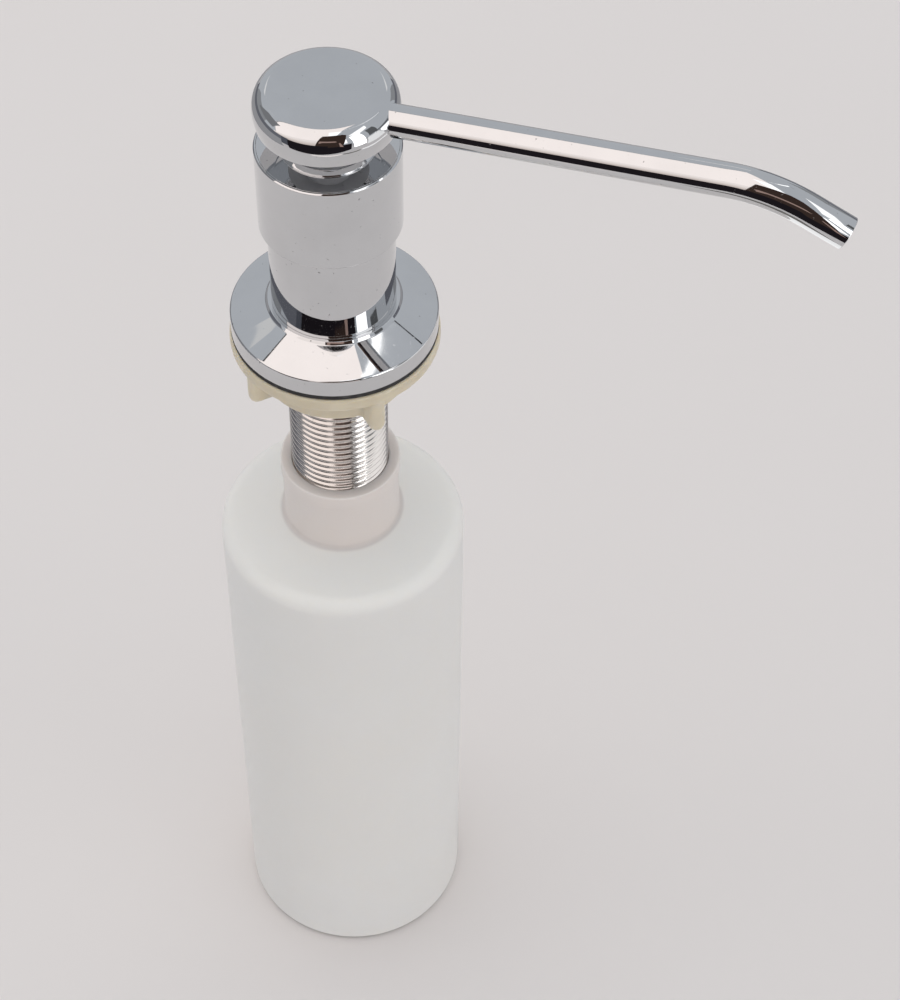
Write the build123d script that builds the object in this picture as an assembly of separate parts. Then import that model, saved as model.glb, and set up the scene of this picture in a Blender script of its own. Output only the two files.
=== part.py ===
from build123d import *
import math
import os

# Built-in kitchen soap dispenser: a screw-on bottle, a deck unit that clamps
# through a worktop, and a lift-out hand pump with a swivelling spout head.
# Millimetres. Origin: centre of the bottle's base. +Z up along the pump axis,
# +X the way the spout points.

# ---- bottle -----------------------------------------------------------------
BOTTLE_R = 33.1
BOTTLE_WALL = 1.3
BOTTLE_FLOOR = 1.4
BASE_EDGE_R = 2.0
WALL_TOP_Z = 167.5
CREST_R = 28.5
CREST_Z = 173.6
SHOULDER_MID_R = 22.0
SHOULDER_MID_Z = 175.4
NECK_BASE_Z = 177.4
NECK_R = 15.5
NECK_RIM_R = 15.95
NECK_RIM_Z = 193.4
NECK_TOP_Z = 198.0
NECK_BORE_R = 12.95
NECK_ROOT_R = 1.2
NECK_BEAD_EDGE = 0.45

# ---- deck unit: shank, flange, gasket, nut, body ----------------------------
SHANK_R = 12.87
SHANK_BORE_R = 10.4
SHANK_BOTTOM_Z = 178.2
SHANK_TOP_Z = 268.0
SHANK_CHAMFER = 0.8
NUT_BORE_R = 12.95
NUT_DISC_R = 26.5
NUT_DISC_THICK = 4.1
NUT_HUB_R = 19.5
NUT_HUB_BOTTOM_Z = 232.8
NUT_TOP_Z = 247.5
WING_COUNT = 4
WING_TURN = 47.0
WING_INNER_R = 17.0
WING_OUTER_R = 24.4
WING_THICK = 3.6
WING_BOTTOM_Z = 230.9
WING_ROUND_R = 2.5
WING_EDGE_R = 1.2
DISC_BEVEL = 0.4
GASKET_R = 26.0
GASKET_BOTTOM_Z = 247.54
GASKET_THICK = 1.3
FLANGE_R = 26.0
FLANGE_RIM_TOP_Z = 253.9
FLANGE_CONE_TOP_R = 17.2
FLANGE_CONE_TOP_Z = 257.2
FLANGE_SEAT_R = 16.5
FLANGE_RIM_EDGE = 0.3
FLANGE_HUB_WALL = 1.6
FLANGE_HUB_TAPER = 0.6
FLANGE_HOLLOW_H = 4.6
FLANGE_RIM_WALL = 2.4
FLANGE_RIM_TAPER = 0.6
FLANGE_RIM_HOLLOW_H = 3.0
BODY_BOTTOM_Z = 258.0
BODY_LOWER_R = 15.5
BODY_UPPER_R = 17.42
BODY_STEP_Z = 283.7
BODY_TOP_Z = 307.3
BODY_WALL = 2.0
BODY_RIM_BEVEL = 0.5
COLLAR_SEAT_Z = 305.8

# ---- lift-out pump ----------------------------------------------------------
COLLAR_FLANGE_R = 16.75
COLLAR_SKIRT_R = 15.2
COLLAR_SKIRT_BOTTOM_Z = 299.5
COLLAR_CAVITY_R = 11.0
COLLAR_BORE_R = 5.9
COLLAR_TOP_Z = 308.5
COLLAR_TOP_R = 10.4
COLLAR_STEP_R = 11.5
COLLAR_BEVEL = 0.8
COLLAR_ROOF = 1.6
O_RING_R = 1.15
O_RING_Z = 302.3
O_RING_SIDE_GAP = 0.15
CYLINDER_BORE_R = 7.0
CYLINDER_R = 8.6
CYLINDER_TOP_Z = 302.0
CYLINDER_FLOOR_Z = 262.0
CYLINDER_TAIL_Z = 240.0
CYLINDER_TAIL_R = 5.0
CYLINDER_FLANGE_H = 1.8
CYLINDER_NECKING_H = 5.0
GUIDE_BOTTOM_Z = 296.0
GUIDE_HUB_H = 3.6
GUIDE_WEB_H = 2.0
GUIDE_RIM_WALL = 1.3
VENT_R = 0.6
VENT_DROP = 1.0
VENT_DRILL = 6.0
INLET_SEAT_Z = 253.6
INLET_SEAT_R = 1.5
INLET_CHAMBER_R = 3.4
INLET_BALL_R = 2.4
CAGE_THICK = 1.2
CAGE_STOP_Z = 259.9
CAGE_HOLE_R = 0.8
CAGE_HOLE_AT = 2.0
DIP_TUBE_R = 3.0
DIP_TUBE_BORE_R = 2.2
DIP_TUBE_BOTTOM_Z = 5.0
DIP_TUBE_TOP_Z = 251.9
DIP_SLANT_DEG = 30.0

# ---- moving rod -------------------------------------------------------------
STEM_R = 4.0
WIPER_R = 5.0
WIPER_THICK = 1.2
STEM_BORE_R = 2.0
STEM_BOTTOM_Z = 291.0
STEM_TOP_Z = 317.4
OUTLET_SEAT_Z = 312.2
OUTLET_SEAT_R = 1.3
OUTLET_SEAT_H = 0.6
OUTLET_CHAMBER_R = 2.9
OUTLET_BALL_R = 2.2
PISTON_R = 6.4
PISTON_BOTTOM_Z = 289.7
PISTON_TOP_Z = 295.7
SEAL_GROOVE_R = 5.2
SEAL_BOTTOM_Z = 291.4
SEAL_TOP_Z = 294.0
SEAL_LIP_H = 0.5
SEAL_LIP_LEAD = 0.25
SEAL_WAIST = 0.45
SPRING_MEAN_R = 5.2
SPRING_WIRE_R = 0.45
SPRING_TURNS = 8

# ---- head and spout ---------------------------------------------------------
HEAD_TOP_Z = 323.95
HEAD_BOTTOM_Z = 315.0
HEAD_WIDEST_Z = 319.0
HEAD_TOP_R = 13.8
HEAD_R = 17.18
HEAD_BOTTOM_R = 16.65
HEAD_RECESS_R = 12.8
HEAD_RECESS_Z = 315.4
HEAD_BELLY = 0.14
CORE_R = 9.5
CORE_TOP_Z = 322.0
CORE_BOSS_R = 5.4
CORE_BOSS_BOTTOM_Z = 312.6
SPOUT_R = 3.95
SPOUT_BORE_R = 3.2
SPOUT_AXIS_Z = 317.95
SPOUT_RISE_DEG = 4.3
SPOUT_DROP_DEG = 27.6
SPOUT_BEND_R = 40.3
SPOUT_STRAIGHT = 93.9
SPOUT_TIP_STRAIGHT = 10.0
SPOUT_SOCKET_X = 15.7
SPIGOT_R = 2.6
SPIGOT_BORE_R = 1.9
SPIGOT_INNER_X = 6.4
TUBE_END_INSET = 0.2

# ---- fits between pieces that move on each other ----------------------------
RUNNING_GAP = 0.06
SEAT_GAP = 0.05
BALL_GAP = 0.02
PRESS_GAP = 0.1
OVERCUT = 1.0


def turned(outline):
    """Solid of revolution about the pump axis through (radius, height) corners."""
    return revolve(make_face(Plane.XZ * Polyline(*outline, close=True)), Axis.Z)


def turned_curve(edges):
    """Solid of revolution about the pump axis from edges drawn in (radius, height)."""
    return revolve(make_face(Plane.XZ * Curve(children=edges)), Axis.Z)


def drilled(radius, low_z, high_z, x=0.0, y=0.0):
    """A vertical cylinder, used as a drill."""
    return Pos(x, y, (low_z + high_z) / 2) * Cylinder(radius, high_z - low_z)


def ball_centre(seat_r, seat_z, ball_r):
    """Height of a ball's centre when it rests in a 45 degree conical seat."""
    cone_tip_z = seat_z - seat_r
    return cone_tip_z + ball_r * math.sqrt(2) + BALL_GAP


def make_bottle():
    """Blow-moulded bottle: round base edge, soft shoulder, straight neck with a rim bead."""
    inner_r = BOTTLE_R - BOTTLE_WALL
    mid = math.sqrt(0.5)
    outer = [
        Line((0, 0), (BOTTLE_R - BASE_EDGE_R, 0)),
        ThreePointArc(
            (BOTTLE_R - BASE_EDGE_R, 0),
            (BOTTLE_R - BASE_EDGE_R * (1 - mid), BASE_EDGE_R * (1 - mid)),
            (BOTTLE_R, BASE_EDGE_R),
        ),
        Line((BOTTLE_R, BASE_EDGE_R), (BOTTLE_R, WALL_TOP_Z)),
        Bezier((BOTTLE_R, WALL_TOP_Z), (BOTTLE_R, CREST_Z - 1.2), (CREST_R, CREST_Z)),
        Bezier((CREST_R, CREST_Z), (SHOULDER_MID_R, SHOULDER_MID_Z), (NECK_R + NECK_ROOT_R, NECK_BASE_Z)),
        Line((NECK_R + NECK_ROOT_R, NECK_BASE_Z), (NECK_R, NECK_BASE_Z + NECK_ROOT_R)),
        Line((NECK_R, NECK_BASE_Z + NECK_ROOT_R), (NECK_R, NECK_RIM_Z)),
        Line((NECK_R, NECK_RIM_Z), (NECK_RIM_R, NECK_RIM_Z + NECK_BEAD_EDGE)),
        Line((NECK_RIM_R, NECK_RIM_Z + NECK_BEAD_EDGE), (NECK_RIM_R, NECK_TOP_Z - NECK_BEAD_EDGE)),
        Line((NECK_RIM_R, NECK_TOP_Z - NECK_BEAD_EDGE), (NECK_RIM_R - NECK_BEAD_EDGE, NECK_TOP_Z)),
        Line((NECK_RIM_R - NECK_BEAD_EDGE, NECK_TOP_Z), (NECK_BORE_R, NECK_TOP_Z)),
    ]
    inner = [
        Line((NECK_BORE_R, NECK_TOP_Z), (NECK_BORE_R, NECK_BASE_Z - 1.0)),
        Bezier((NECK_BORE_R, NECK_BASE_Z - 1.0), (22.0, 174.0), (CREST_R - 0.4, CREST_Z - 1.5)),
        Bezier((CREST_R - 0.4, CREST_Z - 1.5), (inner_r, CREST_Z - 2.6), (inner_r, WALL_TOP_Z)),
        Line((inner_r, WALL_TOP_Z), (inner_r, BOTTLE_FLOOR + BASE_EDGE_R)),
        Line((inner_r, BOTTLE_FLOOR + BASE_EDGE_R), (inner_r - BASE_EDGE_R, BOTTLE_FLOOR)),
        Line((inner_r - BASE_EDGE_R, BOTTLE_FLOOR), (0, BOTTLE_FLOOR)),
        Line((0, BOTTLE_FLOOR), (0, 0)),
    ]
    return turned_curve(outer + inner)


def make_threaded_shank():
    """Brass tube; its outside thread is drawn as its plain major cylinder."""
    return turned([
        (SHANK_BORE_R, SHANK_BOTTOM_Z),
        (SHANK_R - SHANK_CHAMFER, SHANK_BOTTOM_Z),
        (SHANK_R, SHANK_BOTTOM_Z + SHANK_CHAMFER),
        (SHANK_R, SHANK_TOP_Z),
        (SHANK_BORE_R, SHANK_TOP_Z),
    ])


def make_wing():
    """One rounded wing of the nut, in the X-Z plane."""
    top_z = NUT_TOP_Z - NUT_DISC_THICK + DISC_BEVEL
    side = Plane.XZ * Polyline(
        (WING_INNER_R, top_z),
        (WING_INNER_R, WING_BOTTOM_Z),
        (WING_OUTER_R, WING_BOTTOM_Z),
        (WING_OUTER_R, top_z),
        close=True,
    )
    wing = extrude(make_face(side), WING_THICK / 2, both=True)
    low_edges = wing.edges().filter_by(Axis.Y).group_by(Axis.Z)[0]
    wing = fillet(low_edges, WING_ROUND_R)
    outer_edges = wing.edges().filter_by(Axis.Z).group_by(Axis.X)[-1]
    return fillet(outer_edges, WING_EDGE_R)


def make_wing_nut():
    """Plastic nut: clamping disc, hub and four wings to turn it by hand."""
    disc_bottom_z = NUT_TOP_Z - NUT_DISC_THICK
    nut = turned([
        (NUT_BORE_R, NUT_HUB_BOTTOM_Z),
        (NUT_HUB_R, NUT_HUB_BOTTOM_Z),
        (NUT_HUB_R, disc_bottom_z),
        (NUT_DISC_R - DISC_BEVEL, disc_bottom_z),
        (NUT_DISC_R, disc_bottom_z + DISC_BEVEL),
        (NUT_DISC_R, NUT_TOP_Z - DISC_BEVEL),
        (NUT_DISC_R - DISC_BEVEL, NUT_TOP_Z),
        (NUT_BORE_R, NUT_TOP_Z),
    ])
    for index in range(WING_COUNT):
        nut += Rot(0, 0, WING_TURN + index * 360 / WING_COUNT) * make_wing()
    return nut


def make_flange_gasket():
    """Flat rubber washer under the flange."""
    return turned([
        (NUT_BORE_R, GASKET_BOTTOM_Z),
        (GASKET_R, GASKET_BOTTOM_Z),
        (GASKET_R, GASKET_BOTTOM_Z + GASKET_THICK),
        (NUT_BORE_R, GASKET_BOTTOM_Z + GASKET_THICK),
    ])


def make_flange():
    """Chromed cover flange: upright rim, shallow cone, raised seat, hollow underside."""
    bottom_z = GASKET_BOTTOM_Z + GASKET_THICK
    hub_r = NUT_BORE_R + FLANGE_HUB_WALL
    rim_inner_r = FLANGE_R - FLANGE_RIM_WALL
    return turned([
        (NUT_BORE_R, bottom_z),
        (hub_r, bottom_z),
        (hub_r + FLANGE_HUB_TAPER, bottom_z + FLANGE_HOLLOW_H),
        (rim_inner_r - FLANGE_RIM_TAPER, bottom_z + FLANGE_RIM_HOLLOW_H),
        (rim_inner_r, bottom_z),
        (FLANGE_R, bottom_z),
        (FLANGE_R, FLANGE_RIM_TOP_Z - FLANGE_RIM_EDGE),
        (FLANGE_R - FLANGE_RIM_EDGE, FLANGE_RIM_TOP_Z),
        (FLANGE_CONE_TOP_R, FLANGE_CONE_TOP_Z),
        (FLANGE_SEAT_R, BODY_BOTTOM_Z),
        (NUT_BORE_R, BODY_BOTTOM_Z),
    ])


def make_body_housing():
    """Chromed outer body, stepped in below, with a seat for the pump collar in its mouth."""
    lower_bore_r = BODY_LOWER_R - BODY_WALL
    upper_bore_r = BODY_UPPER_R - BODY_WALL
    ledge_z = BODY_STEP_Z + BODY_WALL
    seat_r = COLLAR_FLANGE_R + SEAT_GAP
    return turned([
        (SHANK_R, BODY_BOTTOM_Z),
        (BODY_LOWER_R, BODY_BOTTOM_Z),
        (BODY_LOWER_R, BODY_STEP_Z),
        (BODY_UPPER_R, BODY_STEP_Z),
        (BODY_UPPER_R, BODY_TOP_Z - BODY_RIM_BEVEL),
        (BODY_UPPER_R - BODY_RIM_BEVEL, BODY_TOP_Z),
        (seat_r, BODY_TOP_Z),
        (seat_r, COLLAR_SEAT_Z),
        (upper_bore_r, COLLAR_SEAT_Z),
        (upper_bore_r, ledge_z),
        (lower_bore_r, ledge_z),
        (lower_bore_r, SHANK_TOP_Z),
        (SHANK_R, SHANK_TOP_Z),
    ])


def make_pump_collar():
    """Chromed ring that closes the body's mouth and carries the pump."""
    groove_r = BODY_UPPER_R - BODY_WALL - SEAT_GAP - 2 * O_RING_R
    flange_bottom_z = COLLAR_SEAT_Z + SEAT_GAP
    groove_half = O_RING_R + O_RING_SIDE_GAP
    return turned([
        (COLLAR_BORE_R, COLLAR_TOP_Z),
        (COLLAR_TOP_R, COLLAR_TOP_Z),
        (COLLAR_STEP_R, COLLAR_TOP_Z - COLLAR_BEVEL),
        (COLLAR_STEP_R, BODY_TOP_Z),
        (COLLAR_FLANGE_R, BODY_TOP_Z),
        (COLLAR_FLANGE_R, flange_bottom_z),
        (COLLAR_SKIRT_R, flange_bottom_z),
        (COLLAR_SKIRT_R, O_RING_Z + groove_half),
        (groove_r, O_RING_Z + groove_half),
        (groove_r, O_RING_Z - groove_half),
        (COLLAR_SKIRT_R, O_RING_Z - groove_half),
        (COLLAR_SKIRT_R, COLLAR_SKIRT_BOTTOM_Z),
        (COLLAR_CAVITY_R, COLLAR_SKIRT_BOTTOM_Z),
        (COLLAR_CAVITY_R, COLLAR_TOP_Z - COLLAR_ROOF),
        (COLLAR_BORE_R, COLLAR_TOP_Z - COLLAR_ROOF),
    ])


def make_collar_o_ring():
    """O-ring that holds the collar in the body's bore."""
    ring_r = BODY_UPPER_R - BODY_WALL - SEAT_GAP - O_RING_R
    return Pos(0, 0, O_RING_Z) * Torus(ring_r, O_RING_R)


def make_stem_guide():
    """Plastic bush that guides the stem and stops the piston's upstroke."""
    bore_r = STEM_R + RUNNING_GAP
    plug_r = CYLINDER_BORE_R - SEAT_GAP
    rim_r = COLLAR_CAVITY_R - PRESS_GAP
    rim_inner_r = rim_r - GUIDE_RIM_WALL
    rim_top_z = COLLAR_TOP_Z - COLLAR_ROOF - SEAT_GAP
    web_top_z = CYLINDER_TOP_Z + GUIDE_WEB_H
    hub_r = COLLAR_BORE_R - PRESS_GAP
    hub_top_z = CYLINDER_TOP_Z + GUIDE_HUB_H
    return turned([
        (bore_r, GUIDE_BOTTOM_Z),
        (plug_r, GUIDE_BOTTOM_Z),
        (plug_r, CYLINDER_TOP_Z),
        (rim_r, CYLINDER_TOP_Z),
        (rim_r, rim_top_z),
        (rim_inner_r, rim_top_z),
        (rim_inner_r, web_top_z),
        (hub_r, web_top_z),
        (hub_r, hub_top_z),
        (WIPER_R, hub_top_z),
        (WIPER_R, hub_top_z - WIPER_THICK),
        (bore_r, hub_top_z - WIPER_THICK),
    ])


def make_stem_wiper():
    """Soft ring in the guide's mouth that wipes the stem."""
    top_z = CYLINDER_TOP_Z + GUIDE_HUB_H
    return turned([
        (STEM_R + RUNNING_GAP, top_z - WIPER_THICK),
        (WIPER_R, top_z - WIPER_THICK),
        (WIPER_R, top_z),
        (STEM_R + RUNNING_GAP, top_z),
    ])


def make_pump_cylinder():
    """Plastic pump barrel with a top flange, a ball seat and a tail for the dip tube."""
    rim_r = COLLAR_CAVITY_R - PRESS_GAP
    tube_stop_z = DIP_TUBE_TOP_Z + PRESS_GAP
    seat_rise = INLET_CHAMBER_R - INLET_SEAT_R
    barrel = turned([
        (rim_r, CYLINDER_TOP_Z),
        (rim_r, CYLINDER_TOP_Z - CYLINDER_FLANGE_H),
        (CYLINDER_R, CYLINDER_TOP_Z - CYLINDER_FLANGE_H),
        (CYLINDER_R, CYLINDER_FLOOR_Z - CYLINDER_NECKING_H),
        (CYLINDER_TAIL_R, tube_stop_z),
        (CYLINDER_TAIL_R, CYLINDER_TAIL_Z),
        (DIP_TUBE_R, CYLINDER_TAIL_Z),
        (DIP_TUBE_R, tube_stop_z),
        (INLET_SEAT_R, tube_stop_z),
        (INLET_SEAT_R, INLET_SEAT_Z),
        (INLET_CHAMBER_R, INLET_SEAT_Z + seat_rise),
        (INLET_CHAMBER_R, CYLINDER_FLOOR_Z),
        (CYLINDER_BORE_R, CYLINDER_FLOOR_Z),
        (CYLINDER_BORE_R, CYLINDER_TOP_Z),
    ])
    vent_z = GUIDE_BOTTOM_Z - VENT_DROP
    vent = Pos(CYLINDER_R, 0, vent_z) * Rot(0, 90, 0) * Cylinder(VENT_R, VENT_DRILL)
    return barrel - vent


def make_ball_cage():
    """Perforated disc that keeps the inlet ball near its seat and carries the spring."""
    disc_top_z = CYLINDER_FLOOR_Z + CAGE_THICK
    cage = turned([
        (0, CAGE_STOP_Z),
        (INLET_CHAMBER_R - PRESS_GAP, CAGE_STOP_Z),
        (INLET_CHAMBER_R - PRESS_GAP, CYLINDER_FLOOR_Z),
        (CYLINDER_BORE_R - PRESS_GAP, CYLINDER_FLOOR_Z),
        (CYLINDER_BORE_R - PRESS_GAP, disc_top_z),
        (0, disc_top_z),
    ])
    at = CAGE_HOLE_AT
    for x, y in ((at, 0), (0, at), (-at, 0), (0, -at)):
        cage -= drilled(CAGE_HOLE_R, CAGE_STOP_Z - OVERCUT, disc_top_z + OVERCUT, x, y)
    return cage


def make_dip_tube():
    """Suction tube that reaches nearly to the bottle's floor, cut on the slant."""
    tube = drilled(DIP_TUBE_R, DIP_TUBE_BOTTOM_Z, DIP_TUBE_TOP_Z)
    tube -= drilled(DIP_TUBE_BORE_R, DIP_TUBE_BOTTOM_Z - OVERCUT, DIP_TUBE_TOP_Z + OVERCUT)
    cut_h = 2 * DIP_TUBE_R
    cut_w = 6 * DIP_TUBE_R
    wedge = Pos(DIP_TUBE_R, 0, DIP_TUBE_BOTTOM_Z - cut_h / 2) * Rot(0, -DIP_SLANT_DEG, 0)
    return tube - wedge * Box(cut_w, cut_w, cut_h)


def make_inlet_ball():
    """Steel ball of the suction valve."""
    return Pos(0, 0, ball_centre(INLET_SEAT_R, INLET_SEAT_Z, INLET_BALL_R)) * Sphere(INLET_BALL_R)


def make_outlet_ball():
    """Steel ball of the delivery valve, inside the top of the stem."""
    return Pos(0, 0, ball_centre(OUTLET_SEAT_R, OUTLET_SEAT_Z, OUTLET_BALL_R)) * Sphere(OUTLET_BALL_R)


def make_pump_stem():
    """Hollow stem with the delivery valve's seat near its top."""
    seat_rise = OUTLET_CHAMBER_R - OUTLET_SEAT_R
    return turned([
        (STEM_BORE_R, STEM_BOTTOM_Z),
        (STEM_R, STEM_BOTTOM_Z),
        (STEM_R, STEM_TOP_Z),
        (OUTLET_CHAMBER_R, STEM_TOP_Z),
        (OUTLET_CHAMBER_R, OUTLET_SEAT_Z + seat_rise),
        (OUTLET_SEAT_R, OUTLET_SEAT_Z),
        (OUTLET_SEAT_R, OUTLET_SEAT_Z - OUTLET_SEAT_H),
        (STEM_BORE_R, OUTLET_SEAT_Z - OUTLET_SEAT_H),
    ])


def make_piston():
    """Piston pressed on the stem, with a groove for its seal."""
    return turned([
        (STEM_BORE_R, PISTON_BOTTOM_Z),
        (PISTON_R, PISTON_BOTTOM_Z),
        (PISTON_R, SEAL_BOTTOM_Z),
        (SEAL_GROOVE_R, SEAL_BOTTOM_Z),
        (SEAL_GROOVE_R, SEAL_TOP_Z),
        (PISTON_R, SEAL_TOP_Z),
        (PISTON_R, PISTON_TOP_Z),
        (STEM_R, PISTON_TOP_Z),
        (STEM_R, STEM_BOTTOM_Z),
        (STEM_BORE_R, STEM_BOTTOM_Z),
    ])


def make_piston_seal():
    """Soft seal with an upper and a lower lip."""
    lip_r = CYLINDER_BORE_R - RUNNING_GAP
    middle_z = (SEAL_BOTTOM_Z + SEAL_TOP_Z) / 2
    return turned([
        (SEAL_GROOVE_R, SEAL_BOTTOM_Z),
        (lip_r - SEAL_LIP_LEAD, SEAL_BOTTOM_Z),
        (lip_r, SEAL_BOTTOM_Z + SEAL_LIP_H),
        (lip_r - SEAL_WAIST, middle_z),
        (lip_r, SEAL_TOP_Z - SEAL_LIP_H),
        (lip_r - SEAL_LIP_LEAD, SEAL_TOP_Z),
        (SEAL_GROOVE_R, SEAL_TOP_Z),
    ])


def make_return_spring():
    """Compression spring between the ball cage and the piston."""
    low_z = CYLINDER_FLOOR_Z + CAGE_THICK + SPRING_WIRE_R + SEAT_GAP
    high_z = PISTON_BOTTOM_Z - SPRING_WIRE_R - SEAT_GAP
    height = high_z - low_z
    path = Pos(0, 0, low_z) * Helix(height / SPRING_TURNS, height, SPRING_MEAN_R)
    wire = Plane(origin=path @ 0, z_dir=path % 0) * Circle(SPRING_WIRE_R)
    return sweep(wire, path, is_frenet=True)


def make_head_cap():
    """Chromed push cap: flat top, rounded edge, shallow recess and a pocket for the core."""
    edge_r = HEAD_R - HEAD_TOP_R
    edge_h = HEAD_TOP_Z - HEAD_WIDEST_Z
    belly = (HEAD_R - HEAD_BELLY, (HEAD_BOTTOM_Z + HEAD_WIDEST_Z) / 2)
    outline = [
        Line((0, HEAD_TOP_Z), (HEAD_TOP_R, HEAD_TOP_Z)),
        EllipticalCenterArc((HEAD_TOP_R, HEAD_WIDEST_Z), edge_r, edge_h, arc_size=90),
        ThreePointArc((HEAD_R, HEAD_WIDEST_Z), belly, (HEAD_BOTTOM_R, HEAD_BOTTOM_Z)),
        Line((HEAD_BOTTOM_R, HEAD_BOTTOM_Z), (HEAD_RECESS_R, HEAD_BOTTOM_Z)),
        Line((HEAD_RECESS_R, HEAD_BOTTOM_Z), (HEAD_RECESS_R, HEAD_RECESS_Z)),
        Line((HEAD_RECESS_R, HEAD_RECESS_Z), (CORE_R, HEAD_RECESS_Z)),
        Line((CORE_R, HEAD_RECESS_Z), (CORE_R, CORE_TOP_Z)),
        Line((CORE_R, CORE_TOP_Z), (0, CORE_TOP_Z)),
        Line((0, CORE_TOP_Z), (0, HEAD_TOP_Z)),
    ]
    cap = turned_curve(outline)
    cap -= spout_rod(SPOUT_R, SPOUT_SOCKET_X, 2 * HEAD_R)
    cap -= spout_rod(SPIGOT_R, SPIGOT_INNER_X, 2 * HEAD_R)
    return cap


def make_head_core():
    """Plastic insert in the cap: a socket for the stem and a channel to the spout."""
    core = turned([
        (0, CORE_TOP_Z),
        (CORE_R, CORE_TOP_Z),
        (CORE_R, HEAD_RECESS_Z),
        (CORE_BOSS_R, HEAD_RECESS_Z),
        (CORE_BOSS_R, CORE_BOSS_BOTTOM_Z),
        (0, CORE_BOSS_BOTTOM_Z),
    ])
    core -= drilled(STEM_R + RUNNING_GAP, CORE_BOSS_BOTTOM_Z - OVERCUT, STEM_TOP_Z + SEAT_GAP)
    core -= drilled(STEM_BORE_R, STEM_TOP_Z, SPOUT_AXIS_Z + OVERCUT)
    core -= spout_rod(SPIGOT_BORE_R, 0, SPIGOT_INNER_X + OVERCUT)
    core -= spout_rod(SPIGOT_R, SPIGOT_INNER_X, 2 * CORE_R)
    return core


def spout_rod(radius, near, far):
    """A straight rod on the spout's axis between two distances from the pump axis."""
    middle = (near + far) / 2
    along = Pos(0, 0, SPOUT_AXIS_Z) * Rot(0, 90 - SPOUT_RISE_DEG, 0)
    return along * Pos(0, 0, middle) * Cylinder(radius, far - near)


def spout_path(start):
    """Spout centreline in the X-Z plane: a rising run, one bend, a short tip."""
    rise = math.radians(SPOUT_RISE_DEG)
    ahead = Vector(math.cos(rise), 0, math.sin(rise))
    first = Vector(0, 0, SPOUT_AXIS_Z) + ahead * start
    bend = Vector(0, 0, SPOUT_AXIS_Z) + ahead * SPOUT_STRAIGHT
    below = Vector(math.sin(rise), 0, -math.cos(rise))
    centre = bend + below * SPOUT_BEND_R

    def on_bend(turn_deg):
        turn = math.radians(turn_deg)
        return centre - below * SPOUT_BEND_R * math.cos(turn) + ahead * SPOUT_BEND_R * math.sin(turn)

    down = math.radians(SPOUT_DROP_DEG)
    tip_dir = ahead * math.cos(down) + below * math.sin(down)
    bend_end = on_bend(SPOUT_DROP_DEG)
    return Curve(children=[
        Line(first, bend),
        ThreePointArc(bend, on_bend(SPOUT_DROP_DEG / 2), bend_end),
        Line(bend_end, bend_end + tip_dir * SPOUT_TIP_STRAIGHT),
    ])


def make_spout_tube():
    """Bent chromed tube with a narrower spigot pressed into the core."""
    path = Wire(spout_path(SPOUT_SOCKET_X).edges())
    section = Plane(origin=path @ 0, z_dir=path % 0)
    tube = sweep(section * Circle(SPOUT_R), path) - sweep(section * Circle(SPOUT_BORE_R), path)
    spigot = spout_rod(SPIGOT_R, SPIGOT_INNER_X, SPOUT_SOCKET_X + OVERCUT)
    plug = spout_rod(SPOUT_R - TUBE_END_INSET, SPOUT_SOCKET_X, SPOUT_SOCKET_X + OVERCUT)
    bore = spout_rod(SPIGOT_BORE_R, SPIGOT_INNER_X - OVERCUT, SPOUT_SOCKET_X + 2 * OVERCUT)
    return tube + spigot + plug - bore


SUB_PARTS = {
    "bottle": make_bottle,
    "threaded_shank": make_threaded_shank,
    "wing_nut": make_wing_nut,
    "flange_gasket": make_flange_gasket,
    "flange": make_flange,
    "body_housing": make_body_housing,
    "pump_collar": make_pump_collar,
    "collar_o_ring": make_collar_o_ring,
    "stem_guide": make_stem_guide,
    "stem_wiper": make_stem_wiper,
    "pump_cylinder": make_pump_cylinder,
    "ball_cage": make_ball_cage,
    "dip_tube": make_dip_tube,
    "inlet_ball": make_inlet_ball,
    "outlet_ball": make_outlet_ball,
    "pump_stem": make_pump_stem,
    "piston": make_piston,
    "piston_seal": make_piston_seal,
    "return_spring": make_return_spring,
    "head_cap": make_head_cap,
    "head_core": make_head_core,
    "spout_tube": make_spout_tube,
}

os.makedirs("parts", exist_ok=True)
for node_name, make_node in SUB_PARTS.items():
    export_step(make_node(), "parts/" + node_name + ".step")
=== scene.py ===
import bmesh
import bpy
import math
from mathutils import Matrix, Vector


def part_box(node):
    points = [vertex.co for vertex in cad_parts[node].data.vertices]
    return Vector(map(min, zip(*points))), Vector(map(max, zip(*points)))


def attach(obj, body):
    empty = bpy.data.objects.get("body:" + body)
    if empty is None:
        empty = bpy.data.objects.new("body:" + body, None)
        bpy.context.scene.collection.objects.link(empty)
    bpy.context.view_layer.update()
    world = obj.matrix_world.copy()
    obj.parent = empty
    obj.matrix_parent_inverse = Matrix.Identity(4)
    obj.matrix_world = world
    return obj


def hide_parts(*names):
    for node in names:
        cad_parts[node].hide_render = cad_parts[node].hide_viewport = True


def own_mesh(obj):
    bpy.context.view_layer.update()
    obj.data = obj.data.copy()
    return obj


# Built-in soap dispenser, standing on its bottle on a pale table.
# Metres, in the CAD frame: +Z up along the pump axis, +X the way the spout points.

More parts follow.
